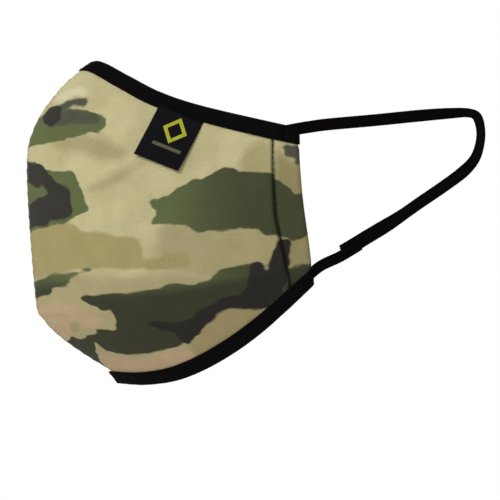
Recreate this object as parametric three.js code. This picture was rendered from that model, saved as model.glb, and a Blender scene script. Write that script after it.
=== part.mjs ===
// A cloth face mask for an adult: two shaped panels joined by a centre seam, lined and with a filter
// layer between, bound along its top and bottom edges, hemmed at its sides, with a nose wire,
// a woven label and two flat elastic ear loops.
//
// Millimetres. +X is the wearer's left, -Y is forwards, +Z is up. The origin is the middle of the
// face opening, halfway between the two side hems and halfway up them.
import * as THREE from "three";

// ---- Driving dimensions ----------------------------------------------------------------------
const HEM_HALF_WIDTH = 63; // from the middle plane to a side hem
const SEAM_CLEARANCE = 0.15; // each half stops this far from the middle plane
const GAP = 0.3; // left between pieces that touch

const OUTER_CLOTH = 0.7;
const FILTER_CLOTH = 0.4;
const LINING_CLOTH = 0.6;
const TAPE_CLOTH = 0.8; // the binding tape
const HEM_CLOTH = 0.6;

const BINDING_WIDTH = 6.2; // from the cloth's edge to the tape's
const HEM_WIDTH = 10.6; // turned back inside
const EDGE_STRIP = 6.7; // the strip of cloth under a binding
const BINDING_OVERHANG = 2; // a binding runs this far past the hem

const WIRE = { top: 1.2, bottom: 5.7, thickness: 0.4, columns: 7 };
const THREAD = { width: 0.6, height: 0.4 };
const THREAD_FROM_EDGE = 0.9; // a stitch line's distance inside a binding's or hem's free edge
const BARTACK = { from: 0.2, to: 4.2, width: 1.6, height: 0.5, in: 2.5 };

const ELASTIC = { width: 5, thickness: 1 };
const LOWER_ELASTIC = { width: 4.2, thickness: 1 };
const LOOP_FLARE = 7; // degrees that a loop stands out from the middle plane's direction
const PIVOT_GAP = 1.4; // between the sewn-in root of an elastic and the loop's pivot line
const ROOT_FROM_HEM = 2.9; // a root's front end, behind the cloth's edge
const LAP_THREAD = { length: 5, width: 4, thickness: 0.5 };

const LABEL = { width: 23, length: 23, thickness: 0.8, lift: 0.8, along: 0.51, drop: 6.9, tilt: 4 };
const MOTIF = { half: 6, ring: 1.8, thickness: 0.3, above: 3.7, across: 1.5 };

// The cloth's outline in the side view, as [y, z]. The seam runs from the chin up to the nose.
const SEAM_POINTS = [
  [-83.3, -79.3],
  [-87.8, -74],
  [-97.4, -68.2],
  [-109.2, -59.9],
  [-117, -51.8],
  [-120.5, -42],
  [-124.3, 13],
  [-120.9, 33.5],
  [-109.6, 50.3],
  [-97.3, 60.6],
];
const TOP_POINTS = [
  [-97.3, 60.6],
  [-91.5, 61.7],
  [-80, 55.7],
  [-65, 48],
  [-45, 41.5],
  [-5.6, 32.2],
];
const BOTTOM_POINTS = [
  [-83.3, -79.3],
  [-70, -79.7],
  [-54.8, -76.8],
  [-37.7, -68.5],
  [-19.7, -55.7],
  [1.4, -36.2],
];
const HEM_POINTS = [
  [1.4, -36.2],
  [-0.3, -20],
  [-3, 0],
  [-4.8, 18],
  [-5.6, 32.2],
];

// The ear loop's middle line, as [y, z]. Its first and last points are on its pivot line.
const TOP_PIVOT = [0.8, 33.4];
const UPPER_ROUTE = [
  TOP_PIVOT,
  [10, 34.6],
  [30, 36.4],
  [50, 38.4],
  [64, 39.5],
  [71.5, 39.6],
  [75.4, 37.8],
  [77, 31.5],
  [76.3, 25],
  [73.8, 19.6],
  [68.5, 14.2],
  [60, 7.6],
  [50, 0.6],
  [39, -6.6],
];
// The lap joint, where the long elastic's end lies on the short lower one's.
const LONG_END = [
  [26, -14.6],
  [16, -20.8],
];
const BOTTOM_PIVOT = [6.8, -27.8];
const LOWER_ROUTE = [[23.5, -17.4], BOTTOM_PIVOT];
const TOP_ROOT = [-2.7, 32.9]; // where the elastics leave the bindings
const BOTTOM_ROOT = [3.9, -29.6];

// ---- The surface of one half ------------------------------------------------------------------
const spline = (points) => new THREE.SplineCurve(points.map(([y, z]) => new THREE.Vector2(y, z)));
const seamLine = spline(SEAM_POINTS);
const topLine = spline(TOP_POINTS);
const bottomLine = spline(BOTTOM_POINTS);
const hemLine = spline(HEM_POINTS);

// The side view's point at s (0 at the seam, 1 at the hem) and v (0 at the chin, 1 at the top): a
// Coons patch between the four outlines.
function sideView(s, v) {
  const [bottom, top] = [bottomLine.getPointAt(s), topLine.getPointAt(s)];
  const [seam, hem] = [seamLine.getPointAt(v), hemLine.getPointAt(v)];
  const corners = [
    [seamLine.getPoint(0), (1 - s) * (1 - v)],
    [seamLine.getPoint(1), (1 - s) * v],
    [bottomLine.getPoint(1), s * (1 - v)],
    [topLine.getPoint(1), s * v],
  ];
  const point = new THREE.Vector2()
    .addScaledVector(bottom, 1 - v)
    .addScaledVector(top, v)
    .addScaledVector(seam, 1 - s)
    .addScaledVector(hem, s);
  for (const [corner, share] of corners) point.addScaledVector(corner, -share);
  return point;
}

// How far out the cloth is at s, as a share of the hem's half width. The cup is a quarter ellipse
// with a low ridge at the seam; towards the nose and chin it blends to a straighter wedge.
const RIDGE = 0.02;
function outness(s, v) {
  const ellipse = (x) => Math.sqrt(1 - (1 - x) ** 2);
  const round = (ellipse(RIDGE + (1 - RIDGE) * s) - ellipse(RIDGE)) / (1 - ellipse(RIDGE));
  const wedge = s ** 0.9;
  const roundness = THREE.MathUtils.lerp(v < 0.5 ? 0.6 : 0.3, 0.9, Math.sin(Math.PI * v) ** 2);
  return THREE.MathUtils.lerp(wedge, round, roundness);
}

function surface(s, v) {
  const p = sideView(s, v);
  return new THREE.Vector3(HEM_HALF_WIDTH * outness(s, v), p.x, p.y);
}

const STEP = 0.002; // for the surface's slopes
function slope(s, v, ds, dv) {
  const clamp = (x) => Math.min(1, Math.max(0, x));
  const after = surface(clamp(s + ds), clamp(v + dv));
  return after.sub(surface(clamp(s - ds), clamp(v - dv))).normalize();
}
const alongEdge = (s, v) => slope(s, v, STEP, 0);
function outward(s, v) {
  const normal = alongEdge(s, v).cross(slope(s, v, 0, STEP));
  if (s === 0) normal.x = 0; // the seam's own direction lies in the middle plane
  return normal.normalize();
}

// A grid of cloth points. Columns bunch up at the front, where the cup curves most, and the last
// one's strip is the hem's. The first and last rows' strips are the bindings'.
const COLUMNS = 13;
const ROWS = 14;
const HEM_START = 0.878;
const grid = Array.from({ length: COLUMNS + 1 }, (_, i) => {
  const bunched = 1 - Math.cos((i / (COLUMNS - 1)) ** 0.85 * (Math.PI / 2));
  const s = i === COLUMNS ? 1 : HEM_START * bunched;
  const length = (from, to) => surface(s, from).distanceTo(surface(s, to));
  const strip = EDGE_STRIP / (length(0, 0.05) / 0.05);
  const topStrip = EDGE_STRIP / (length(0.95, 1) / 0.05);
  return Array.from({ length: ROWS + 1 }, (_, j) => {
    const inner = (j - 1) / (ROWS - 2);
    const v = j === 0 ? 0 : j === ROWS ? 1 : strip + inner * (1 - strip - topStrip);
    const place = surface(s, v);
    if (i === 0) place.x = SEAM_CLEARANCE;
    return { s, v, place, normal: outward(s, v) };
  });
});

// A point of the straight strip from grid point a towards b: along it by a distance, and out from
// the cloth's outer face by another. Straight strips keep the layers' flat facets parallel.
function onStrip(a, b, distance, out) {
  const share = distance / a.place.distanceTo(b.place);
  const inside = Math.min(1, Math.max(0, share));
  const normal = a.normal.clone().lerp(b.normal, inside).normalize();
  return a.place.clone().lerp(b.place, share).addScaledVector(normal, out);
}

// ---- Solids -----------------------------------------------------------------------------------
// A closed geometry from points and triangles, turned so that its faces point out.
function solid(points, triangles) {
  let volume = 0;
  for (const [a, b, c] of triangles) {
    volume += points[a].dot(points[b].clone().cross(points[c]));
  }
  const faces = volume < 0 ? triangles.map(([a, b, c]) => [a, c, b]) : triangles;
  const geometry = new THREE.BufferGeometry().setFromPoints(points);
  geometry.setIndex(faces.flat());
  geometry.computeVertexNormals();
  return geometry;
}

// A layer of cloth between two distances from the outer face, over a range of columns and rows.
function layer(out, inn, firstRow = 0, lastRow = ROWS) {
  const rows = lastRow - firstRow + 1;
  const points = [];
  for (const offset of [out, inn]) {
    for (const column of grid) {
      for (const { place, normal } of column.slice(firstRow, lastRow + 1)) {
        points.push(place.clone().addScaledVector(normal, offset));
      }
    }
  }
  const sheet = points.length / 2;
  const triangles = [];
  const quad = (a, b, c, d) => triangles.push([a, b, c], [a, c, d]);
  for (let i = 0; i < COLUMNS; i++) {
    for (let j = 0; j < rows - 1; j++) {
      const a = i * rows + j;
      triangles.push([a, a + rows, a + rows + 1], [a, a + rows + 1, a + 1]);
      triangles.push([sheet + a, sheet + a + rows + 1, sheet + a + rows]);
      triangles.push([sheet + a, sheet + a + 1, sheet + a + rows + 1]);
    }
  }
  for (let i = 0; i < COLUMNS; i++) {
    const [low, high] = [i * rows, i * rows + rows - 1];
    quad(low, sheet + low, sheet + low + rows, low + rows);
    quad(high, high + rows, sheet + high + rows, sheet + high);
  }
  for (let j = 0; j < rows - 1; j++) {
    const far = COLUMNS * rows + j;
    quad(j, j + 1, sheet + j + 1, sheet + j);
    quad(far, sheet + far, sheet + far + 1, far + 1);
  }
  return solid(points, triangles);
}

// A bar through rings of points, all with the corners of one outline, closed at both ends. Its
// quads are split from a ring's greater x to the next ring's lesser x, or the other way where
// lean is -1, so that it folds along the same lines as the cloth that it lies on.
function bar(rings, outline, lean = 1) {
  const count = outline.length;
  const triangles = [];
  for (let i = 0; i + 1 < rings.length; i++) {
    for (let k = 0; k < count; k++) {
      const next = (k + 1) % count;
      const [a, b] = [i * count + k, i * count + next];
      const falling = (outline[k].x - outline[next].x) * lean > 0;
      if (falling) triangles.push([a, b, b + count], [a, b + count, a + count]);
      else triangles.push([a, b, a + count], [b, b + count, a + count]);
    }
  }
  const turned = THREE.ShapeUtils.isClockWise(outline);
  const cap = THREE.ShapeUtils.triangulateShape(outline, []);
  const last = (rings.length - 1) * count;
  for (const [a, b, c] of cap) {
    triangles.push(turned ? [a, b, c] : [a, c, b]);
    triangles.push(turned ? [last + a, last + c, last + b] : [last + a, last + b, last + c]);
  }
  if (!turned) return solid(rings.flat(), triangles);
  return solid(rings.flat(), triangles.map(([a, b, c]) => [a, c, b]));
}

const outlineOf = (corners) => corners.map(([x, y]) => new THREE.Vector2(x, y));
const oblong = (x0, x1, y0, y1) => outlineOf([[x0, y0], [x1, y0], [x1, y1], [x0, y1]]);

// Sections along an edge: x inwards from the edge, y out from the cloth. A binding is folded over
// the edge, and a hem turned back inside it.
const STACK = OUTER_CLOTH + FILTER_CLOTH + LINING_CLOTH + 2 * GAP;
const bindingSection = outlineOf([
  [BINDING_WIDTH, GAP + TAPE_CLOTH],
  [-GAP - TAPE_CLOTH, GAP + TAPE_CLOTH],
  [-GAP - TAPE_CLOTH, -STACK - GAP - TAPE_CLOTH],
  [BINDING_WIDTH, -STACK - GAP - TAPE_CLOTH],
  [BINDING_WIDTH, -STACK - GAP],
  [-GAP, -STACK - GAP],
  [-GAP, GAP],
  [BINDING_WIDTH, GAP],
]);
const hemSection = outlineOf([
  [-GAP, 0],
  [-GAP - HEM_CLOTH, 0],
  [-GAP - HEM_CLOTH, -STACK - GAP - HEM_CLOTH],
  [HEM_WIDTH, -STACK - GAP - HEM_CLOTH],
  [HEM_WIDTH, -STACK - GAP],
  [-GAP, -STACK - GAP],
]);

const topPair = (i) => [grid[i][ROWS], grid[i][ROWS - 1]];
const bottomPair = (i) => [grid[i][0], grid[i][1]];
const hemPair = (j) => [grid[COLUMNS][j], grid[COLUMNS - 1][j]];
const upTo = (n) => Array.from({ length: n + 1 }, (_, i) => i);
const innerRows = upTo(ROWS).slice(1, ROWS);
const [TOP_LEAN, BOTTOM_LEAN, HEM_LEAN, SEAM_LEAN] = [1, -1, 1, -1];

// A bar whose section stands on the strip at each of a run of grid pairs.
function stripBar(pairs, outline, lean) {
  return bar(
    pairs.map(([a, b]) => outline.map(({ x, y }) => onStrip(a, b, x, y))),
    outline,
    lean,
  );
}

// A binding runs on past the hem, so its last section is repeated further back.
function binding(pairOf, lean) {
  const rings = upTo(COLUMNS).map((i) => {
    const [a, b] = pairOf(i);
    return bindingSection.map(({ x, y }) => onStrip(a, b, x, y));
  });
  const end = pairOf(COLUMNS)[0];
  const back = alongEdge(end.s, end.v).multiplyScalar(BINDING_OVERHANG);
  rings.push(rings[COLUMNS].map((point) => point.clone().add(back)));
  return bar(rings, bindingSection, lean);
}

const threadSection = (free, out) => {
  const to = free - THREAD_FROM_EDGE;
  return oblong(to - THREAD.width, to, out, out + THREAD.height);
};
const bindingThread = (pairOf, lean) =>
  stripBar(upTo(COLUMNS).map(pairOf), threadSection(BINDING_WIDTH, 2 * GAP + TAPE_CLOTH), lean);

function seamThread() {
  const outline = oblong(0.2, 0.2 + THREAD.width, GAP, GAP + THREAD.height);
  return stripBar(innerRows.map((j) => [grid[1][j], grid[2][j]]), outline, SEAM_LEAN);
}

function noseWire() {
  const out = -OUTER_CLOTH - GAP;
  const outline = oblong(WIRE.top, WIRE.bottom, out - WIRE.thickness, out);
  return stripBar(upTo(WIRE.columns).map(topPair), outline, TOP_LEAN);
}

// A bartack across a binding's end, where the elastic is sewn in.
function bartack(pairOf) {
  const out = 2 * GAP + TAPE_CLOTH;
  const outline = oblong(BARTACK.from, BARTACK.to, out, out + BARTACK.height);
  const [a, b] = pairOf(COLUMNS);
  const back = alongEdge(a.s, a.v);
  const ring = (shift) =>
    outline.map(({ x, y }) => onStrip(a, b, x, y).addScaledVector(back, shift));
  return bar([ring(-BARTACK.in), ring(-BARTACK.in + BARTACK.width)], outline);
}

// ---- Ear loops --------------------------------------------------------------------------------
const elasticX = HEM_HALF_WIDTH - STACK / 2;
const pivot = new THREE.Vector2(...TOP_PIVOT);
const pivotRun = new THREE.Vector2(...BOTTOM_PIVOT).sub(pivot).normalize();
const backward = new THREE.Vector2(-pivotRun.y, pivotRun.x);
const flare = Math.tan(THREE.MathUtils.degToRad(LOOP_FLARE));

// A loop lies in a plane through its pivot line, and stands out from the middle plane behind it.
const loopFace = new THREE.Vector3(1, -flare * backward.x, -flare * backward.y).normalize();
function inLoopPlane([y, z], out = 0) {
  const behind = Math.max(0, new THREE.Vector2(y, z).sub(pivot).dot(backward));
  return new THREE.Vector3(elasticX + flare * behind, y, z).addScaledVector(loopFace, out);
}

// Lines of the side view that straps are cut along.
const lineThrough = (a, b, back = 0) => [a, b].map(([y, z]) => new THREE.Vector2(y + back, z));
const pivotLine = lineThrough(TOP_PIVOT, BOTTOM_PIVOT);
const rootEnd = lineThrough(TOP_PIVOT, BOTTOM_PIVOT, -PIVOT_GAP);
const rootStart = lineThrough(TOP_POINTS.at(-1), BOTTOM_POINTS.at(-1), ROOT_FROM_HEM);

// Slides a strap's corner along the strap to one of those lines.
function slide(corner, along, [from, to]) {
  const side = (y, z) => y * (to.y - from.y) - z * (to.x - from.x);
  const distance = side(corner.y - from.x, corner.z - from.y) / side(along.y, along.z);
  return corner.addScaledVector(along, -distance);
}

// A flat strap through points of the loop's plane, square at an end that no line is given for.
function strap(points, steps, { width, thickness }, startLine, endLine) {
  const curve = new THREE.CatmullRomCurve3(points);
  const outline = oblong(-width / 2, width / 2, -thickness / 2, thickness / 2);
  const rings = upTo(steps).map((i) => {
    const centre = curve.getPointAt(i / steps);
    const along = curve.getTangentAt(i / steps);
    const across = loopFace.clone().cross(along).normalize();
    const line = { 0: startLine, [steps]: endLine }[i];
    return outline.map(({ x, y }) => {
      const corner = centre.clone().addScaledVector(across, x).addScaledVector(loopFace, y);
      return line ? slide(corner, along, line) : corner;
    });
  });
  return bar(rings, outline);
}

const LAP_OUT = ELASTIC.thickness + GAP; // the long elastic lies on the short one's outer face
const earElastic = () =>
  strap(
    [
      ...UPPER_ROUTE.map((point) => inLoopPlane(point)),
      ...LONG_END.map((point) => inLoopPlane(point, LAP_OUT)),
    ],
    48,
    ELASTIC,
    pivotLine,
  );
const lowerElastic = () =>
  strap(LOWER_ROUTE.map((point) => inLoopPlane(point)), 1, LOWER_ELASTIC, undefined, pivotLine);
const root = (points, size) =>
  strap(points.map((point) => inLoopPlane(point)), 1, size, rootStart, rootEnd);

function lapThread() {
  const out = LAP_OUT + (ELASTIC.thickness + LAP_THREAD.thickness) / 2 + GAP;
  const middle = inLoopPlane([20, -18.6], out);
  const half = inLoopPlane([22, -17.3], out).sub(middle).setLength(LAP_THREAD.length / 2);
  return strap([middle.clone().sub(half), middle.clone().add(half)], 1, LAP_THREAD);
}

// ---- Label ------------------------------------------------------------------------------------
// The label is flat and lies on the plane that touches the cloth behind its middle. It hangs from
// a line just under the top binding, tilted a little forwards.
function labelFrame() {
  const s = LABEL.along;
  const perV = surface(s, 1).distanceTo(surface(s, 0.95)) / 0.05;
  const middle = 1 - (LABEL.drop + LABEL.length / 2) / perV;
  const face = outward(s, middle);
  const top = surface(s, 1 - LABEL.drop / perV).projectOnPlane(face);
  top.addScaledVector(face, surface(s, middle).dot(face));
  const across = alongEdge(s, 1).projectOnPlane(face).normalize();
  across.applyAxisAngle(face, -THREE.MathUtils.degToRad(LABEL.tilt));
  return { top, across, down: across.clone().cross(face), face };
}

function placeOnLabel(geometry, middle, height) {
  const { top, across, down, face } = labelFrame();
  const turn = new THREE.Matrix4().makeBasis(across, down.clone().negate(), face);
  const centre = top.clone().addScaledVector(down, middle).addScaledVector(face, height);
  return geometry.applyMatrix4(turn).translate(...centre);
}

function labelPlate() {
  const { width, length, thickness, lift } = LABEL;
  return placeOnLabel(
    new THREE.BoxGeometry(width, length, thickness),
    length / 2,
    lift + thickness / 2,
  );
}

// A plain diamond ring, woven into the label.
function labelMotif() {
  const diamond = (half) => outlineOf([[half, 0], [0, half], [-half, 0], [0, -half]]);
  const shape = new THREE.Shape(diamond(MOTIF.half));
  shape.holes.push(new THREE.Path(diamond(MOTIF.half - MOTIF.ring).reverse()));
  const ring = new THREE.ExtrudeGeometry(shape, { depth: MOTIF.thickness, bevelEnabled: false });
  const height = LABEL.lift + LABEL.thickness + GAP;
  ring.translate(MOTIF.across, 0, 0);
  return placeOnLabel(ring, LABEL.length / 2 - MOTIF.above, height);
}

// ---- Materials --------------------------------------------------------------------------------
const material = (color, roughness, metalness = 0) =>
  new THREE.MeshStandardMaterial({ color, roughness, metalness });
const camoCloth = material(0x9a9468, 0.9);
const blackTape = material(0x17141a, 0.85);
const blackThread = material(0x1c1a1f, 0.7);
const khakiThread = material(0x6f6a4a, 0.8);
const lining = material(0x1b1a1c, 0.95);
const filter = material(0xe9e7df, 0.95);
const aluminium = material(0xb9bcc0, 0.4, 1);
const elastic = material(0x121013, 0.8);
const labelCloth = material(0x121016, 0.6);
const labelGreen = material(0xadb033, 0.6);

// ---- Assembly ---------------------------------------------------------------------------------
function mirrored(geometry) {
  const copy = (geometry.index ? geometry.toNonIndexed() : geometry.clone()).scale(-1, 1, 1);
  const at = copy.attributes.position;
  for (let i = 0; i < at.count; i += 3) {
    for (const read of ["getX", "getY", "getZ"]) {
      const write = read.replace("get", "set");
      const kept = at[read](i + 1);
      at[write](i + 1, at[read](i + 2));
      at[write](i + 2, kept);
    }
  }
  copy.computeVertexNormals();
  return copy;
}

const halfPieces = {
  outer_panel: [layer(0, -OUTER_CLOTH), camoCloth],
  filter_layer: [
    layer(-OUTER_CLOTH - GAP, -OUTER_CLOTH - GAP - FILTER_CLOTH, 0, ROWS - 1),
    filter,
  ],
  lining_panel: [layer(LINING_CLOTH - STACK, -STACK), lining],
  top_binding: [binding(topPair, TOP_LEAN), blackTape],
  bottom_binding: [binding(bottomPair, BOTTOM_LEAN), blackTape],
  side_hem: [stripBar(innerRows.map(hemPair), hemSection, HEM_LEAN), camoCloth],
  nose_wire: [noseWire(), aluminium],
  top_binding_thread: [bindingThread(topPair, TOP_LEAN), blackThread],
  bottom_binding_thread: [bindingThread(bottomPair, BOTTOM_LEAN), blackThread],
  hem_thread: [
    stripBar(innerRows.map(hemPair), threadSection(HEM_WIDTH, GAP), HEM_LEAN),
    khakiThread,
  ],
  seam_thread: [seamThread(), khakiThread],
  top_bartack: [bartack(topPair), blackThread],
  bottom_bartack: [bartack(bottomPair), blackThread],
  loop_top_root: [root([TOP_ROOT, TOP_PIVOT], ELASTIC), elastic],
  loop_bottom_root: [root([BOTTOM_ROOT, BOTTOM_PIVOT], LOWER_ELASTIC), elastic],
  ear_elastic: [earElastic(), elastic],
  lower_elastic: [lowerElastic(), elastic],
  lap_thread: [lapThread(), blackThread],
};

const mask = new THREE.Group();
function add(name, geometry, finish) {
  const mesh = new THREE.Mesh(geometry, finish);
  mesh.name = name;
  mask.add(mesh);
}
for (const [name, [geometry, finish]] of Object.entries(halfPieces)) {
  add(`left_${name}`, geometry, finish);
  add(`right_${name}`, mirrored(geometry), finish);
}
add("side_label", labelPlate(), labelCloth);
add("label_motif", labelMotif(), labelGreen);

export default mask;
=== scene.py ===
"""A camouflage cloth face mask with black binding tape, ear elastics and a woven label.

Metres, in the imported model's frame: +X is the wearer's left, -Y is forwards, +Z is up. One half is
made as a smooth surface S(s, v), with s from the centre seam (0) to the side hem (1) and v from the
chin (0) to the top edge (1). The other half is its mirror image. Every cloth piece is a closed thin
solid laid along that surface, and its print and weave are drawn in the cloth's own coordinates.
"""

import math

import bpy
import numpy as np
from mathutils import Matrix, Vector


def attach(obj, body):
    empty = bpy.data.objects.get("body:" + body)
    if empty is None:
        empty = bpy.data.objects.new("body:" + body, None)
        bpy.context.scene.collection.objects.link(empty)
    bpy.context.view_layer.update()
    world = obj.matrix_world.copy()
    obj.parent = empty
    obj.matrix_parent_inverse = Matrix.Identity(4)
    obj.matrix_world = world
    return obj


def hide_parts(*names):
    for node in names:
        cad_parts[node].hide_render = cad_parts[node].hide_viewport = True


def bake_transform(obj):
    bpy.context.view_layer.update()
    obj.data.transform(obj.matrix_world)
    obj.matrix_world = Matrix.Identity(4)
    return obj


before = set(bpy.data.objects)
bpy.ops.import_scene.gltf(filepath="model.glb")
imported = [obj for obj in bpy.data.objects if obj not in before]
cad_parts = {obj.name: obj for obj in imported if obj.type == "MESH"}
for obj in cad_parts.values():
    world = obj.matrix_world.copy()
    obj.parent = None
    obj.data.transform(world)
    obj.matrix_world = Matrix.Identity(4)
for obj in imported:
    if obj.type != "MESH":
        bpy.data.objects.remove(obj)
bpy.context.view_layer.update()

MM = 0.001

# ---- The cut of the mask, in mm ----
HALF_WIDTH = 63
SEAM_LINE = [  # [y, z] from the chin to the nose
    [-83.3, -79.3], [-87.8, -74], [-97.4, -68.2], [-109.2, -59.9], [-117, -51.8],
    [-120.5, -42], [-124.3, 13], [-120.9, 33.5], [-109.6, 50.3], [-97.3, 60.6],
]
TOP_LINE = [[-97.3, 60.6], [-91.5, 61.7], [-80, 55.7], [-65, 48], [-45, 41.5], [-5.6, 32.2]]
BOTTOM_LINE = [
    [-83.3, -79.3], [-70, -79.7], [-54.8, -76.8], [-37.7, -68.5], [-19.7, -55.7], [1.4, -36.2],
]
HEM_LINE = [[1.4, -36.2], [-0.3, -20], [-3, 0], [-4.8, 18], [-5.6, 32.2]]

OUTER_CLOTH, FILTER_CLOTH, LINING_CLOTH = 0.7, 0.35, 0.6
FILTER_DEPTH, LINING_DEPTH = 1.05, 1.8  # each layer's middle, under the outer face
OUTER_GAP, FILTER_GAP, LINING_GAP = 0.15, 0.6, 0.02  # from each layer's edge to the middle plane
HEM_TURN = 1.15  # radius of the turned hem
HEM_STITCH, HEM_BULGE = 10.4, 0.9  # from the cloth's edge to the hem's curved stitch line
HEM_EDGE = 0.85  # s at the turned hem's raw edge
GROOVE_SHADE_WIDTH = 1.1  # of the painted shade along the groove of the hem's stitching

TAPE_LEG, TAPE_CLOTH, TAPE_WEB = 6.2, 0.8, 0.7
TAPE_OUT = 0.5  # the outer leg's middle, above the cloth's face
TAPE_IN, OVER_HEM = 2.6, 0.9  # the inner leg's middle, under it, and how much more over the hem
TAPE_STITCH = 1.3  # from the tape's free edge to its stitch line
TAPE_OVERHANG = 1.9  # past the hem
NOSE_TUCK = 0.32  # how much of the top tape's leg is taken up where it folds over the nose
NOSE_PRESS, NOSE_SPREAD = 0.55, 5  # how far it is pressed down there, and over what distance
WIRE_END, WIRE_DEPTH = 0.4, 1.2  # s at the nose wire's end, and its middle under the face

STITCH, STITCH_GAP, THREAD_RADIUS = 2.6, 0.5, 0.21

# ---- The ear loops, in mm ----
ELASTIC_X = 61.85  # where the loop is sewn in
ELASTIC, LOWER_ELASTIC, ELASTIC_CLOTH = 5.3, 3.9, 1.0
FLARE = math.tan(math.radians(7))
TOP_PIVOT, BOTTOM_PIVOT = [0.8, 33.4], [6.8, -27.8]
LONG_ROUTE = [
    [-12, 30.9], [-6, 32.2], [1, 33.4], [10, 34.6], [30, 36.4], [50, 38.4], [64, 39.5], [71.5, 39.6],
    [75.5, 37.8], [77.1, 31.5], [76.5, 25], [74.2, 19], [69, 13.3], [60.4, 6.9], [50.3, 0],
    [39.2, -7.7], [26.1, -15.8], [16, -21.9],
]
SHORT_ROUTE = [[-3, -36], [1.4, -32], BOTTOM_PIVOT, [15, -23.9], [23.6, -18.7]]
LAP_START, LAP_LIFT = 39, 1.3  # y where the long elastic starts to rise onto the short one
TWIST, TWIST_AT, TWIST_SPREAD = 70, 0.54, 0.15  # degrees, behind the ear, and shares of the length
LOWER_TWIST = 41  # on the way back to the lap
LAP_SEAM = [[17.4, -20.9], [22.4, -17.7]]

# ---- The label, in mm ----
LABEL_WIDTH, LABEL_LENGTH, LABEL_CLOTH, LABEL_LIFT = 23.6, 23, 0.6, 1.1
LABEL_UNDER_TAPE, LABEL_FOLD = 3, 3  # the hidden part, and the part that bends as it lifts
LABEL_ALONG, LABEL_DROP, LABEL_TILT = 0.51, 6.9, 4  # s, mm under the edge, and degrees
MOTIF_HALF, MOTIF_ABOVE, MOTIF_ACROSS = 6.4, 4.8, 1.5  # from the label's middle
RING_INNER = 0.62  # the ring's inner outline, as a share of its outer one
STRIPE_HALF, STRIPE_TOP, STRIPE_BOTTOM = 7.5, 14.2, 15.8  # from the label's top
YARN_RISE, RING_YARN, STRIPE_YARN = 0.12, 0.16, 0.14  # above the label, and half thicknesses

# ---- The printed shapes, with a painted highlight and painted shade among them, in mm, as [y, z] outlines over the left half's side view ----
# A point in front of the seam line, or outside another edge, carries its shape over that edge.
# A painted highlight at the upper front near the nose, where the cloth curves towards the light.
PAINTED_HIGHLIGHT = [[[-112, 45], [-107, 49.5], [-101, 51.5], [-97, 50], [-98, 47.4], [-102, 47.5], [-107, 45]]]
SAND = [
    [[-128, -29], [-100, -31], [-60, -31], [-40, -33], [-30, -60], [-60, -84], [-128, -84]],
    [[-62, -6], [-40, -6], [10, -6], [10, -34], [-40, -34], [-64, -26]],
    [[-13, 23], [-8, 22], [10, 24], [10, -40], [-10, -40], [-12, -10]],
]
DUN = [
    [[-36, -4], [-12, -6], [10, -8], [10, -34], [-20, -26], [-36, -30], [-46, -26]],
    [[-30, 17], [-26, 24], [-18, 27], [-15, 13], [-26, 12]],
    [[-114, 29], [-100, 30.5], [-88, 28], [-79, 22], [-86, 19], [-98, 22], [-110, 24]],
    [[-95, 5.5], [-86, 8], [-78, 12], [-72, 18], [-80, 15.5], [-88, 11.5], [-95, 8]],
]
KHAKI = [
    [[-13, 22], [-9, 19], [-4, 17], [10, 17], [10, -36], [-7, -33], [-12, -10]],
]
# A darker tan at the lower rear: the print's tan with painted shade, where the lower rear turns away
# from the light.
DARK_TAN_AND_SHADE = [
    [[-52, -62], [-46, -54], [-36, -46], [-22, -42], [-8, -38], [10, -40], [-20, -60], [-38, -72],
     [-55, -76]],
]
ROSE = [
    [[-95, -66], [-89, -66], [-75, -68], [-60, -65], [-52, -63], [-50, -72], [-70, -84],
     [-98, -76]],
    [[-128, -46], [-112, -45], [-104, -44], [-98, -47], [-90, -51], [-92, -54], [-100, -55],
     [-106, -60], [-128, -62]],
]
OLIVE = [
    [[-128, -10], [-110, -8.5], [-103, -9], [-99, -12.5], [-90, -13], [-76, -15], [-73, -19],
     [-72, -24], [-65, -24], [-60, -21.5], [-55, -21.5], [-51.5, -24], [-51, -28],
     [-60, -28.6], [-80, -28.6], [-100, -28.6], [-112, -31], [-128, -33]],
    [[-105, -53], [-101.5, -52.5], [-100, -55], [-103, -57]],
]
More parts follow.
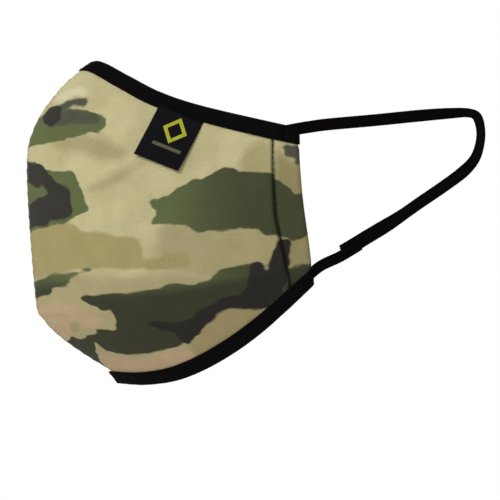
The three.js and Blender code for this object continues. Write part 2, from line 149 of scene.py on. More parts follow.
GREEN = [
    [[-130, 36], [-130, 25], [-120, 26], [-109, 27.5], [-98, 30.8], [-92.5, 31], [-89, 32.8],
     [-87.7, 35.5], [-90.5, 39.5], [-100.5, 41], [-114, 40.5], [-119, 37]],
    [[-130, 17.4], [-118, 17.4], [-115.7, 14.4], [-103.5, 14.6], [-101.4, 10.6], [-99.8, 5.6],
     [-97, -0.6], [-97.3, -3.1], [-101, -5.3], [-104.2, -7.4], [-109, -9], [-115, -10.6],
     [-130, -13]],
    [[-130, -36], [-118.5, -34], [-113.2, -31.6], [-103.6, -30.2], [-95, -28.8], [-102, -31.6],
     [-106.5, -35.9], [-112.2, -37.4], [-115.6, -40.3], [-130, -44]],
    [[-99.8, -41.7], [-96.4, -40.2], [-79.6, -39.8], [-65.2, -37.4], [-60, -35.6], [-45, -34.5],
     [-37.6, -29.2], [-31, -28], [-25.4, -26.4], [-22, -25.6], [-18, -29], [-13, -29], [-2, -29],
     [-2, -42], [-22, -45.5], [-33, -45], [-39, -47.5], [-44, -52], [-48.5, -56.5],
     [-53.5, -61.5], [-60.4, -64.2], [-72.4, -66.6], [-82, -66.2], [-88.2, -64.7], [-94, -61.9],
     [-91, -76], [-110, -68], [-104.5, -59], [-99.7, -59.5], [-93.5, -57.5], [-92.1, -55.6],
     [-84.9, -55.6], [-84.4, -49.9], [-86.3, -47.5], [-90.1, -47], [-95.9, -44.1]],
    [[-68, 1], [-60, 3.5], [-57, 6.5], [-52, 8.5], [-50, 10.3], [-46, 10.5], [-42, 13],
     [-38, 15], [-33, 15.5], [-28, 14.5], [-16, 13.5], [-14, 11], [-8, 7], [-4, 4.5], [8, 2],
     [8, -14], [0, -14.5], [-5, -16], [-14, -14], [-19, -13.5], [-22, -11], [-35, -12],
     [-48, -12], [-52, -10.5], [-60, -9], [-68.5, -9], [-66, -4.5], [-68.5, -1.5]],
    [[-8, -28.5], [8, -28.5], [8, -44], [-6, -42], [-9, -33]],
]
SMOKE = [  # thin greenish grey over the other inks
    [[-9.6, -33.6], [-7.8, -35], [-14.6, -43.8], [-16.6, -42]],
    [[-116, 37], [-114, 40], [-107, 40.6], [-100.8, 41], [-92.6, 39.8], [-90.5, 36.9],
     [-92.6, 35.3], [-103.2, 35.3], [-108.9, 33.6], [-113, 34]],
    [[-113, 40.5], [-108.5, 43.4], [-105, 45.8], [-101.5, 46.8], [-98, 46.4], [-96.8, 44.9],
     [-98, 43.2], [-102, 43], [-105.5, 42], [-108, 40.5], [-111, 38]],
    [[-10.4, 24.9], [-8.6, 26.4], [-7, 25.7], [-5, 25.6], [8, 25.6], [8, 16], [-4, 17.5],
     [-5.6, 19.6], [-7.4, 20.6], [-9, 20.9], [-10.1, 22.4]],
]
CHARCOAL = [
    [[-116.5, 38], [-113.5, 42], [-109.5, 42.6], [-108, 39.5], [-109, 36.5], [-112, 34.2],
     [-115.5, 34.5]],
    [[-130, 17.8], [-118.3, 17.4], [-115, 13.5], [-110.4, 9.8], [-105.4, 7.3], [-104.2, 4.3],
     [-104.2, -1.9], [-103.7, -6], [-109, -6.8], [-112.5, -8.3], [-116, -9.8], [-130, -11],
     [-120, 2], [-116, 2.5], [-114.5, 5.5], [-117, 8.5], [-120, 7]],
    [[-72, -53], [-65, -52.3], [-58, -52.4], [-53, -51.5], [-45.4, -46], [-36.5, -41.5],
     [-28.8, -39], [-25, -32], [-24.5, -28], [-22, -25.2], [-19, -27.5], [-17, -28.3],
     [-15.5, -24], [-13.8, -20], [-12.8, -15.5], [-8, -16], [-7, -20], [-7.6, -26], [-9.5, -31],
     [-9, -36], [-14.4, -43.5], [-23.2, -47], [-33.2, -46.6], [-38.7, -48.7], [-43.1, -53],
     [-47.6, -57.5], [-52.5, -62.3], [-58.6, -57.5], [-65.3, -55.1]],
]
PRINT = {
    "painted_highlight": PAINTED_HIGHLIGHT, "sand": SAND, "dun": DUN, "khaki": KHAKI, "dark_tan_and_shade": DARK_TAN_AND_SHADE, "rose": ROSE,
    "olive": OLIVE, "green": GREEN, "smoke": SMOKE, "charcoal": CHARCOAL,
}
FRONT, FRONT_STRETCH = -110, 3  # in front of this y, mm of cloth for each mm past the seam line
# The right panel is cut from another place on the print, which is turned half round there.
TURNED_PRINT = [146, -14]


# ---- The surface of one half ----
def spline(points):
    """A smooth curve through points in mm. Gives metres at shares of its length."""
    p = np.array(points, float) * MM
    p = np.vstack([p[:1], p, p[-1:]])
    spans = len(points) - 1

    def at_parameter(t):
        i = np.clip(np.floor(t).astype(int), 0, spans - 1)
        w = (t - i)[..., None]
        p0, p1, p2, p3 = p[i], p[i + 1], p[i + 2], p[i + 3]
        v0, v1 = (p2 - p0) / 2, (p3 - p1) / 2
        cubic = 2 * (p1 - p2) + v0 + v1
        return ((cubic * w + 3 * (p2 - p1) - 2 * v0 - v1) * w + v0) * w + p1

    t = np.linspace(0, spans, 50 * spans + 1)
    steps = np.linalg.norm(np.diff(at_parameter(t), axis=0), axis=1)
    length = np.append(0, np.cumsum(steps))
    return lambda share: at_parameter(np.interp(share * length[-1], length, t))


seam_line, top_line = spline(SEAM_LINE), spline(TOP_LINE)
bottom_line, hem_line = spline(BOTTOM_LINE), spline(HEM_LINE)


def side_view(s, v):
    """The side view's point at s and v: a Coons patch between the four outlines."""
    bottom, top, seam, hem = bottom_line(s), top_line(s), seam_line(v), hem_line(v)
    s, v = s[..., None], v[..., None]
    chin, nose = np.array(SEAM_LINE[0]) * MM, np.array(SEAM_LINE[-1]) * MM
    low, high = np.array(HEM_LINE[0]) * MM, np.array(HEM_LINE[-1]) * MM
    corners = (1 - s) * ((1 - v) * chin + v * nose) + s * ((1 - v) * low + v * high)
    return (1 - v) * bottom + v * top + (1 - s) * seam + s * hem - corners


def surface(s, v):
    s, v = np.broadcast_arrays(np.clip(s, 0, 1), np.clip(v, 0, 1))
    ridge = 0.02

    def ellipse(x):
        return np.sqrt(1 - (1 - x) ** 2)

    start = ellipse(ridge)
    round_ = (ellipse(ridge + (1 - ridge) * s) - start) / (1 - start)
    edge = np.where(v < 0.5, 0.6, 0.3)
    roundness = edge + (0.9 - edge) * np.sin(np.pi * v) ** 2
    out = s**0.9 + (round_ - s**0.9) * roundness
    flat = side_view(s, v)
    return np.stack([HALF_WIDTH * MM * out, flat[..., 0], flat[..., 1]], -1)


def unit(vectors):
    return vectors / np.linalg.norm(vectors, axis=-1, keepdims=True)


STEP = 0.002


def backwards(s, v):
    return unit(surface(s + STEP, v) - surface(s - STEP, v))


def outward(s, v):
    s, v = np.broadcast_arrays(s, v)
    normal = np.cross(backwards(s, v), unit(surface(s, v + STEP) - surface(s, v - STEP)))
    normal[..., 0] = np.where(s <= 0, 0, normal[..., 0])
    return unit(normal)


def smooth(x):
    x = np.clip(x, 0, 1)
    return x * x * (3 - 2 * x)


def running_length(points, axis):
    steps = np.linalg.norm(np.diff(points, axis=axis), axis=-1)
    first = np.zeros_like(np.take(steps, [0], axis=axis))
    return np.concatenate([first, np.cumsum(steps, axis=axis)], axis=axis)


def cloth_grid(columns, rows, top=1.0):
    """A grid of one half: its s and v, places, normals and cloth coordinates in mm."""
    bunched = 1 - np.cos(np.linspace(0, 1, columns) ** 0.85 * np.pi / 2)
    s, v = np.meshgrid(bunched, np.linspace(0, top, rows), indexing="ij")
    place = surface(s, v)
    from_seam = running_length(place, 0) / MM
    from_chin = running_length(place, 1) / MM
    middle = from_chin[:, [rows // 2]]
    return {
        "s": s,
        "v": v,
        "place": place,
        "normal": outward(s, v),
        "q": from_seam[-1:] - from_seam,  # from the hem
        "p": from_chin - middle,  # up from half way
        "from_seam": from_seam,
        "from_edge": np.minimum(from_chin, from_chin[:, -1:] - from_chin),
    }


def off_hem_stitch(q, p):
    """Distance in mm in front of the hem's stitch line."""
    return q - HEM_STITCH - HEM_BULGE * np.exp(-(((p + 2) / 12) ** 2))


def relief(g):
    """How far the cloth stands out: soft waves, puckers beside the stitching, and the grooves."""
    q, p, s, v = g["q"], g["p"], g["s"], g["v"]
    waves = 0.32 * np.sin(q / 10 + p / 15 + 0.6) + 0.24 * np.sin(p / 7.5 - q / 18 + 2.1)
    waves += 0.14 * np.sin(q / 4.1 + p / 5.3 + 0.4 * np.sin(p / 9))
    waves *= smooth(4 * v * (1 - v)) * smooth(5 * s) * smooth(q / 14 - 0.6)
    off_tape = (g["from_edge"] - TAPE_LEG) / 5
    along = g["from_seam"] + 2.5 * np.sin(g["from_seam"] / 13)
    puckers = 0.16 * np.sin(along / 1.15) * np.exp(-np.clip(off_tape, 0, None) ** 2)
    puckers *= smooth(g["from_edge"] / TAPE_LEG - 0.5)
    off_hem = off_hem_stitch(q, p)
    groove = -0.5 * np.exp(-((off_hem / 0.8) ** 2))
    groove += 0.13 * np.sin(p / 0.62) * np.exp(-((off_hem / 2.4) ** 2))
    seam = -0.5 * np.exp(-((g["from_seam"] / 1.0) ** 2))
    seam += 0.12 * np.sin(p / 0.8) * np.exp(-((g["from_seam"] / 4) ** 2))
    return (waves + puckers + groove + seam) * MM


# ---- Meshes ----
def add(thing):
    bpy.context.scene.collection.objects.link(thing)


def volume(points, quads):
    a, b, c, d = (points[quads[:, k]] for k in range(4))
    return np.sum(a * np.cross(b, c)) + np.sum(a * np.cross(c, d))


def make(name, points, quads, material, slot, caps=(), **attributes):
    """An object of quads and end caps, turned to face outwards."""
    if volume(points, quads) < 0:
        quads = quads[:, ::-1]
        caps = [cap[::-1] for cap in caps]
    mesh = bpy.data.meshes.new(name)
    mesh.from_pydata(points.tolist(), [], quads.tolist() + [list(map(int, cap)) for cap in caps])
    for key, values in attributes.items():
        values = np.asarray(values, np.float32)
        kind = "FLOAT" if values.ndim == 1 else "FLOAT_VECTOR"
        data = mesh.attributes.new(key, kind, "POINT").data
        data.foreach_set("value" if values.ndim == 1 else "vector", values.ravel())
    mesh.shade_smooth()
    mesh.materials.append(material)
    piece = bpy.data.objects.new(name, mesh)
    add(piece)
    return piece


def thick_sheet(name, middle, normal, half, material, slot, **attributes):
    """A closed sheet on a grid of places. Attributes on the grid are given to both faces."""
    n, m = middle.shape[:2]
    half = np.broadcast_to(half, (n, m))[..., None]
    faces = [(middle + half * normal).reshape(-1, 3), (middle - half * normal).reshape(-1, 3)]
    index = np.arange(n * m).reshape(n, m)
    corners = [index[:-1, :-1], index[1:, :-1], index[1:, 1:], index[:-1, 1:]]
    upper = np.stack(corners, -1).reshape(-1, 4)
    rim = np.concatenate([index[:, 0], index[-1, 1:], index[-2::-1, -1], index[0, -2:0:-1]])
    following = np.roll(rim, -1)
    sides = np.stack([following, rim, rim + n * m, following + n * m], -1)
    quads = np.concatenate([upper, upper[:, ::-1] + n * m, sides])
    both = {}
    for key, values in attributes.items():
        flat = values.reshape(n * m, -1)
        both[key] = np.concatenate([flat, flat]).squeeze()
    return make(name, np.concatenate(faces), quads, material, slot, **both)


def tubes(name, paths, normals, radius, material, slot, sides=6):
    """Round threads along paths, each with closed ends."""
    count, n = paths.shape[:2]
    along = unit(np.gradient(paths, axis=1))
    across = unit(np.cross(normals, along))
    out = np.cross(along, across)
    turn = np.arange(sides) * 2 * np.pi / sides
    radius = np.broadcast_to(radius, n)[:, None, None]
    ring = np.cos(turn)[:, None] * across[:, :, None] + np.sin(turn)[:, None] * out[:, :, None]
    points = (paths[:, :, None] + radius * ring).reshape(-1, 3)
    index = np.arange(count * n * sides).reshape(count, n, sides)
    beside = np.roll(index, -1, axis=2)
    walls = [index[:, :-1], beside[:, :-1], beside[:, 1:], index[:, 1:]]
    quads = np.stack(walls, -1).reshape(-1, 4)
    caps = [*index[:, 0, ::-1], *index[:, -1]]
    length = running_length(paths, 1)[:, :, None] + np.zeros(sides)
    cloth = np.stack([length, np.broadcast_to(turn * MM, length.shape), 0 * length], -1)
    return make(name, points, quads, material, slot, caps, cloth=cloth.reshape(-1, 3))


def stitches(name, line, normals, material, slot, rise=1.6):
    """Running stitches along a line of places: each rises from the cloth and dips back into it."""
    length = running_length(line, 0) / MM
    count = int(length[-1] // STITCH)
    share = np.linspace(0, 1, 7)
    at = (np.arange(count)[:, None] + 0.5) * STITCH + (share - 0.5) * (STITCH - STITCH_GAP)
    paths = np.stack([np.interp(at, length, line[:, k]) for k in range(3)], -1)
    out = unit(np.stack([np.interp(at, length, normals[:, k]) for k in range(3)], -1))
    height = THREAD_RADIUS * (rise * np.sin(np.pi * share) ** 0.6 - 0.9)
    radius = THREAD_RADIUS * MM * (0.55 + 0.45 * np.sin(np.pi * share) ** 0.5)
    paths = paths + out * height[:, None] * MM
    return tubes(name, paths, out, radius, material, slot)


def mirror(vectors):
    return vectors * np.array([-1, 1, 1])


SIDES = {"left": lambda x: x, "right": mirror}


# ---- Materials ----
def srgb(*values):
    linear = [((c / 255 + 0.055) / 1.055) ** 2.4 if c > 10 else c / 255 / 12.92 for c in values]
    return (*linear, 1)


class Finish:
    """One material's node tree, with short ways to add to it."""

    def __init__(self, name, colour, roughness, sheen=0.0, metallic=0.0, gloss=0.5):
        self.material = bpy.data.materials.new(name)
        self.material.use_nodes = True
        self.tree = self.material.node_tree
        self.shader = self.tree.nodes["Principled BSDF"]
        self.colour = srgb(*colour)
        self.set(self.shader, "Base Color", self.colour)
        self.set(self.shader, "Roughness", roughness)
        self.set(self.shader, "Metallic", metallic)
        self.set(self.shader, "Specular IOR Level", gloss)
        self.set(self.shader, "Sheen Weight", sheen)
        self.set(self.shader, "Sheen Roughness", 0.5)
        self.cloth = self.attribute("cloth", "Vector")

    def set(self, node, socket, value):
        """Links a socket, or sets a value."""
        if isinstance(value, bpy.types.NodeSocket):
            self.tree.links.new(value, node.inputs[socket])
        elif value is not None:
            node.inputs[socket].default_value = value

    def attribute(self, name, output="Fac"):
        node = self.tree.nodes.new("ShaderNodeAttribute")
        node.attribute_name = name
        return node.outputs[output]

    def math(self, operation, a, b=None, clamp=False):
        node = self.tree.nodes.new("ShaderNodeMath")
        node.operation = operation
        node.use_clamp = clamp
        self.set(node, 0, a)
        self.set(node, 1, b)
        return node.outputs[0]

    def scaled(self, vector, factors):
        node = self.tree.nodes.new("ShaderNodeVectorMath")
        node.operation = "MULTIPLY"
        self.set(node, 0, vector)
        node.inputs[1].default_value = factors
        return node.outputs[0]

    def noise(self, size, detail=3.0, stretch=(1, 1, 1)):
        """Noise from 0 to 1, with features about size metres wide."""
        node = self.tree.nodes.new("ShaderNodeTexNoise")
        self.set(node, "Vector", self.scaled(self.cloth, stretch))
        node.inputs["Scale"].default_value = 1 / size
        node.inputs["Detail"].default_value = detail
        return node.outputs["Fac"]

    def ramp(self, value, low, high, to_low=0.0, to_high=1.0):
        node = self.tree.nodes.new("ShaderNodeMapRange")
        node.interpolation_type = "SMOOTHSTEP"
        for socket, x in zip(range(5), (value, low, high, to_low, to_high)):
            self.set(node, socket, x)
        return node.outputs[0]

    def mix(self, factor, a, b, kind="MIX"):
        node = self.tree.nodes.new("ShaderNodeMix")
        node.data_type = "RGBA"
        node.blend_type = kind
        self.set(node, 0, factor)
        self.set(node, 6, a)
        self.set(node, 7, b)
        return node.outputs[2]

    def ribs(self, direction, spacing):
        """Waves from -1 to 1 along a direction of the cloth."""
        node = self.tree.nodes.new("ShaderNodeVectorMath")
        node.operation = "DOT_PRODUCT"
        self.set(node, 0, self.cloth)
        node.inputs[1].default_value = [2 * math.pi / spacing * x for x in (*direction, 0)]
        return self.math("SINE", node.outputs["Value"])

    def weave(self, spacing):
        """A plain weave's height: threads pass over and under each other."""
        return self.math("MULTIPLY", self.ribs((1, 0), spacing), self.ribs((0, 1), spacing))

    def bump(self, height, depth, under=None):
        node = self.tree.nodes.new("ShaderNodeBump")
        node.inputs["Distance"].default_value = depth
        self.set(node, "Height", height)
        self.set(node, "Normal", under)
        return node.outputs["Normal"]

    def done(self, colour, normal):
        self.set(self.shader, "Base Color", colour)
        self.set(self.shader, "Normal", normal)
        return self.material

    def vary(self, colour, share, size):
        """Darkens and lightens a colour by a share, in soft patches."""
        patches = self.ramp(self.noise(size), 0.3, 0.7, 1 - share, 1 + share)
        return self.mix(1.0, colour, patches, "MULTIPLY")


def camouflage():
    f = Finish("camouflage", (200, 190, 145), 0.88, sheen=0.03, gloss=0.15)
    ragged = f.noise(0.0045, 4.0, (0.45, 1, 1))
    shift = f.ramp(ragged, 0.25, 0.75, -0.8, 0.8)
    # Greens and charcoal darker towards the rear and the bottom: partly the print's darker ink,
    # partly painted shade.
    deep_ink_and_shade = f.attribute("deep_ink_and_shade")
    greens = f.mix(deep_ink_and_shade, srgb(96, 106, 66), srgb(57, 59, 41))
    tans = f.mix(f.ramp(f.noise(0.022, 2.0), 0.35, 0.7), f.colour, srgb(187, 177, 132))
    blacks = f.mix(deep_ink_and_shade, srgb(53, 51, 45), srgb(41, 38, 34))
    colour = tans
    for key, ink, edge in (
        # the painted highlight
        ("painted_highlight", srgb(212, 205, 166), 1.6),
        ("sand", srgb(171, 160, 118), 4.0),
        ("dun", srgb(170, 160, 116), 3.0),
        ("khaki", srgb(150, 139, 97), 2.6),
        # the print's tan with painted shade at the lower rear
        ("dark_tan_and_shade", srgb(160, 144, 103), 3.0),
        ("rose", srgb(185, 162, 126), 2.2),
        ("olive", srgb(164, 153, 103), 1.0),
        ("green", greens, 0.5),
        ("smoke", srgb(80, 82, 66), 0.9),
        ("charcoal", blacks, 0.7),
    ):
        distance = f.math("ADD", f.attribute(key), shift)
        colour = f.mix(f.ramp(distance, -edge, edge, 1.0, 0.0), colour, ink)
    # Painted shade in the hem's stitched groove: the colour is darkened to a tenth at its deepest.
    groove = f.ramp(f.attribute("groove"), 0.0, 1.0, 1.0, 0.1)
    colour = f.mix(1.0, colour, groove, "MULTIPLY")
    weave = f.weave(0.00085)
    # Painted shade in the weave: darker in the hollows between threads, lighter on the raised
    # threads.
    threads = f.ramp(weave, -1, 1, 0.93, 1.05)
    colour = f.mix(1.0, colour, threads, "MULTIPLY")
    fuzz = f.bump(f.noise(0.0004, 2.0), 0.00006)
    return f.done(f.vary(colour, 0.035, 0.009), f.bump(weave, 0.00009, fuzz))


def black_cloth(name, colour, roughness, sheen, spacing, depth, rib=False):
    f = Finish(name, colour, roughness, sheen, gloss=0.04)
    height = f.ribs((1, 0), spacing) if rib else f.weave(spacing)
    shade = f.ramp(height, -1, 1, 0.75, 1.2)
    colour = f.mix(1.0, f.colour, shade, "MULTIPLY")
    fuzz = f.bump(f.noise(0.0005, 3.0), 0.00008)
    return f.done(f.vary(colour, 0.12, 0.006), f.bump(height, depth, fuzz))


def braided_elastic():
    """Knitted elastic: rows of slanted loops between its lengthwise cords."""
    f = Finish("braided_elastic", (9, 7, 8), 0.8, gloss=0.03)
    loops = f.math("MULTIPLY", f.ribs((0.6, 1), 0.0011), f.ribs((1, 0), 0.00085))
    shade = f.ramp(loops, -1, 1, 0.6, 1.5)
    return f.done(f.mix(1.0, f.colour, shade, "MULTIPLY"), f.bump(loops, 0.00018))


def twisted_thread(name, colour):
    f = Finish(name, colour, 0.75, gloss=0.05)
    twist = f.ribs((1, 0.35), 0.0006)
    return f.done(f.vary(f.colour, 0.12, 0.002), f.bump(twist, 0.00006))


def satin(name, colour, spacing):
    """Woven label cloth: fine slanted ribs with a soft gloss."""
    f = Finish(name, colour, 0.65, gloss=0.06)
    rib = f.ribs((1, 0.5), spacing)
    shade = f.ramp(rib, -1, 1, 0.8, 1.15)
    colour = f.mix(1.0, f.colour, shade, "MULTIPLY")
    return f.done(f.vary(colour, 0.08, 0.003), f.bump(rib, 0.00007))


def fleece():
    f = Finish("fleece", (233, 231, 223), 0.95, sheen=0.3)
    return f.done(f.vary(f.colour, 0.04, 0.003), f.bump(f.noise(0.0008, 4.0), 0.0002))


def aluminium():
    f = Finish("aluminium", (190, 193, 197), 0.38, metallic=1.0)
    brushed = f.bump(f.noise(0.0003, 2.0, (0.1, 1, 1)), 0.00003)
    return f.done(f.vary(f.colour, 0.06, 0.004), brushed)


camo = camouflage()
tape_cloth = black_cloth("tape_cloth", (12, 10, 12), 0.9, 0.0, 0.0007, 0.00012, rib=True)
lining_cloth = black_cloth("lining_cloth", (40, 39, 42), 0.92, 0.05, 0.0009, 0.0001)
black_thread = twisted_thread("black_thread", (11, 10, 12))
brown_thread = twisted_thread("brown_thread", (31, 27, 21))
khaki_thread = twisted_thread("khaki_thread", (150, 141, 102))
elastic = braided_elastic()
label_satin = satin("label_satin", (14, 12, 16), 0.0007)
label_yarn = satin("label_yarn", (173, 176, 51), 0.0006)
dim_yarn = satin("dim_yarn", (92, 92, 70), 0.0006)
filter_fleece = fleece()
wire_metal = aluminium()


# ---- The print ----
def rounded(outline):
    """A closed smooth line through an outline's points."""
    p = np.array(outline, float)
    w = np.linspace(0, 1, 5)[:-1, None, None]
    p0, p1, p2, p3 = (np.roll(p, k, axis=0) for k in (1, 0, -1, -2))
    v0, v1 = (p2 - p0) * 0.4, (p3 - p1) * 0.4
    curve = ((2 * (p1 - p2) + v0 + v1) * w + 3 * (p2 - p1) - 2 * v0 - v1) * w * w + v0 * w + p1
    return curve.transpose(1, 0, 2).reshape(-1, 2)


def signed_distance(points, outline):
    """From each point to a closed outline: negative inside it."""
    a, b = outline, np.roll(outline, -1, axis=0)
    edge = b - a
    offset = points[:, None] - a
    share = np.clip(np.sum(offset * edge, -1) / np.sum(edge * edge, -1), 0, 1)
    distance = np.linalg.norm(offset - share[..., None] * edge, axis=-1).min(1)
    above = (a[:, 1] > points[:, None, 1]) != (b[:, 1] > points[:, None, 1])
    crossing = a[:, 0] + (points[:, None, 1] - a[:, 1]) * edge[:, 0] / (edge[:, 1] + 1e-12)
    inside = np.sum(above & (points[:, None, 0] < crossing), 1) % 2 == 1
    return np.where(inside, -distance, distance)


def on_cloth(outline, g):
    """An outline's [y, z] points in cloth coordinates, by the nearest place on the cloth."""
    side = g["place"][..., 1:].reshape(-1, 2) / MM
    q, p = g["q"].ravel(), g["p"].ravel()
    points = []
    for y, z in outline:
        near = np.argmin(np.sum((side - [y, z]) ** 2, 1))
        beyond = side[near] - [y, z]
        if y < FRONT:
            beyond[0] *= FRONT_STRETCH
        points.append([q[near] + beyond[0], p[near] - beyond[1]])
    return points


coarse = cloth_grid(80, 80)
PRINT_OUTLINES = {
    ink: [rounded(on_cloth(outline, coarse)) for outline in outlines]
    for ink, outlines in PRINT.items()
}


def print_attributes(q, p, turned):
    """Each ink's distance in mm from its shapes, painted highlight and painted shade among them, at
    cloth coordinates in mm.
    """
    shape = q.shape
    points = np.stack([q.ravel(), p.ravel()], -1)
    if turned:
        points = np.array(TURNED_PRINT) - points
    inks = {}
    for ink, outlines in PRINT_OUTLINES.items():
        nearest = np.full(len(points), 99.0)
        for outline in outlines:
            nearest = np.minimum(nearest, signed_distance(points, outline))
        inks[ink] = nearest.reshape(shape)
    # Darker towards the rear and the bottom: partly the print's darker ink, partly painted shade.
    rear, low = 0.75 * smooth((68 - points[:, 0]) / 45), smooth((-18 - points[:, 1]) / 10)
    inks["deep_ink_and_shade"] = np.maximum(rear, low).reshape(shape)
    return inks


# ---- Cloth layers ----
def over_middle(piece):
    """Bakes the place of a piece that crosses, or meets, the centre seam into its mesh."""
    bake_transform(piece)


def as_cloth(q, p):
    return np.stack([q * MM, p * MM, 0 * q], -1)


def off_seam(points, gap):
    """Keeps a layer's places a gap in mm away from the middle plane."""
    points[..., 0] = np.maximum(points[..., 0], gap * MM)
    return points


def outer_panel():
    """The printed cloth's middle, normals and cloth coordinates, with its hem turned inside."""
    g = cloth_grid(150, 132)
    half = OUTER_CLOTH / 2 * MM
    face = g["place"] + g["normal"] * (relief(g) - half)[..., None]
    middle = [off_seam(face, OUTER_GAP)]
    normal, q = [g["normal"]], [g["q"]]
    edge, out, back = g["place"][-1], g["normal"][-1], backwards(g["s"][-1], g["v"][-1])
    radius = HEM_TURN * MM
    from_end = np.minimum(g["p"][-1] - g["p"][-1].min(), g["p"][-1].max() - g["p"][-1])
    squashed = 1 - 0.6 * smooth((9 - from_end) / 3)[:, None]  # the fold is flatter in a binding
    for angle in np.linspace(0, np.pi, 9)[1:]:
        around = back * math.sin(angle) + out * math.cos(angle)
        fold = back * squashed * math.sin(angle) + out * math.cos(angle)
        middle.append((edge + radius * fold - (radius + half) * out)[None])
        normal.append(around[None])
        q.append(np.full_like(edge[None, :, 0], -angle * HEM_TURN))
    turned = -np.pi * HEM_TURN
    for s in np.linspace(1, HEM_EDGE, 9)[1:]:
        column = np.full_like(g["v"][-1], s)
        place, out = surface(column, g["v"][-1]), outward(column, g["v"][-1])
        middle.append((place - out * (2 * radius + half))[None])
        normal.append(-out[None])
        width = np.linalg.norm(place - edge, axis=-1) / MM
        q.append((turned - width)[None])
    q = np.concatenate(q)
    p = np.concatenate([g["p"], np.repeat(g["p"][-1:], len(q) - len(g["p"]), axis=0)])
    return np.concatenate(middle), np.concatenate(normal), q, p


def make_outer_panels():
    middle, normal, q, p = outer_panel()
    # How strong the painted shade is along the hem's stitched groove.
    groove = np.exp(-((off_hem_stitch(q, p) / GROOVE_SHADE_WIDTH) ** 2))
    groove *= 0.88 + 0.12 * smooth((22 - p) / 8)  # fainter near the top
    for side, place in SIDES.items():
        inks = print_attributes(q, p, turned=side == "right")
        piece = thick_sheet(
            side + "_outer_cloth", place(middle), place(normal), OUTER_CLOTH / 2 * MM, camo,
            "camo_cloth", cloth=as_cloth(q, p), groove=groove, **inks,
        )
        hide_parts(side + "_outer_panel", side + "_side_hem")
        over_middle(piece)


def make_inner_layers():
    g = cloth_grid(90, 80)
    low = cloth_grid(90, 80, top=0.95)  # the fleece stops below the nose wire
    layers = {
        "filter_fleece": (low, FILTER_DEPTH, FILTER_CLOTH, FILTER_GAP, filter_fleece,
                          "filter_layer"),
        "lining_cloth": (g, LINING_DEPTH, LINING_CLOTH, LINING_GAP, lining_cloth,
                         "lining_panel"),
    }
    for name, (grid, depth, thickness, gap, material, node) in layers.items():
        offset = relief(grid) - depth * MM
        middle = off_seam(grid["place"] + grid["normal"] * offset[..., None], gap)
        for side, place in SIDES.items():
            piece = thick_sheet(
                f"{side}_{name}", place(middle), place(grid["normal"]), thickness / 2 * MM,
                material, name, cloth=as_cloth(grid["q"], grid["p"]),
            )
            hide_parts(f"{side}_{node}")
            over_middle(piece)


# ---- Bindings ----
def edge_places(s, v_edge, inside):
    """Places and normals on the cloth at distances in mm inside an edge, for each s."""
    v_sign = 1 if v_edge == 0 else -1
    near = np.full_like(s, v_edge + v_sign * 0.02)
    rate = np.linalg.norm(surface(s, near) - surface(s, np.full_like(s, v_edge)), axis=-1) / 0.02
    from_seam = np.linalg.norm(surface(s, near) - surface(0 * s, near), axis=-1) / MM
    width = 1 - NOSE_TUCK * v_edge * np.exp(-((from_seam / NOSE_SPREAD) ** 2))
    s = s[:, None]
    v = v_edge + v_sign * np.outer(width / rate, inside) * MM
    return surface(s, v), outward(s, v)


def both_halves(rows):
    """A left half's rows, from the middle out, with the right half's mirrored before them."""
    return np.concatenate([mirror(rows[:0:-1]), rows])


def nose_press(v_edge, edge):
    """How far in mm the top tape is pressed down over the nose, at places along its edge."""
    from_seam = np.linalg.norm(edge - edge[0], axis=-1) / MM
    return NOSE_PRESS * v_edge * np.exp(-((from_seam / NOSE_SPREAD) ** 2))


def inner_leg(from_hem):
    """Where a tape's inner leg lies, in mm from the cloth's face: deeper over the turned hem."""
    return -TAPE_IN - OVER_HEM * smooth((18 - from_hem) / 4)


END_TOP, END_LOW = -0.75, -1.6  # where the two legs lie at a tape's pinched end


def tape(v_edge):
    """A binding's middle and normals, over both halves: rows along it, columns round the edge."""
    s = 1 - np.cos(np.linspace(0, 1, 100) ** 0.85 * np.pi / 2)
    legs = np.array([TAPE_LEG, 6.1, 5.85, 5.4, 4.7, 3.8, 2.8, 1.8, 0.9, 0])
    leg, leg_normal = edge_places(s, v_edge, legs)
    edge, out = leg[:, -1], leg_normal[:, -1]
    inward = unit(leg[:, -2] - edge)
    from_hem = np.linalg.norm(edge - edge[-1], axis=-1) / MM
    depth = inner_leg(from_hem)
    wavy = 0.08 * np.sin(np.arange(len(s)) * 0.9) * smooth(from_hem / 10)
    flat = nose_press(v_edge, edge)
    rows, normals = [], []
    over = TAPE_OVERHANG * np.array([0.25, 0.5, 0.75, 1])
    back = backwards(np.array([1.0]), np.array([float(v_edge)]))[0]
    for i in [*range(len(s)), *[-1] * len(over)]:
        extra = over[len(rows) - len(s)] if len(rows) >= len(s) else 0
        pinch = smooth(np.array(extra / TAPE_OVERHANG))
        top = (TAPE_OUT - flat[i] + wavy[i]) * (1 - pinch) + END_TOP * pinch
        low = depth[i] * (1 - pinch) + END_LOW * pinch
        centre, radius = (top + low) / 2, (top - low) / 2
        shift = back * extra * MM
        turn = np.linspace(0, np.pi, 9)[1:-1, None]
        round_ = edge[i] + out[i] * (centre + radius * np.cos(turn)) * MM
        round_ = round_ - inward[i] * TAPE_WEB * MM * np.sin(turn)
        outer = leg[i] + leg_normal[i] * top * MM
        inner = leg[i][::-1] + leg_normal[i][::-1] * low * MM
        rows.append(np.concatenate([outer, round_, inner]) + shift)
        normals.append(np.concatenate([
            leg_normal[i], unit(out[i] * np.cos(turn) - inward[i] * np.sin(turn)),
            -leg_normal[i][::-1],
        ]))
    return both_halves(np.array(rows)), both_halves(np.array(normals))


def tape_edge_taper(columns):
    """A tape's half thickness across it, rounded at both free edges."""
    edge = np.array([0.35, 0.7, 0.92])
    taper = np.ones(columns)
    taper[:3], taper[-3:] = edge, edge[::-1]
    return taper * TAPE_CLOTH / 2 * MM


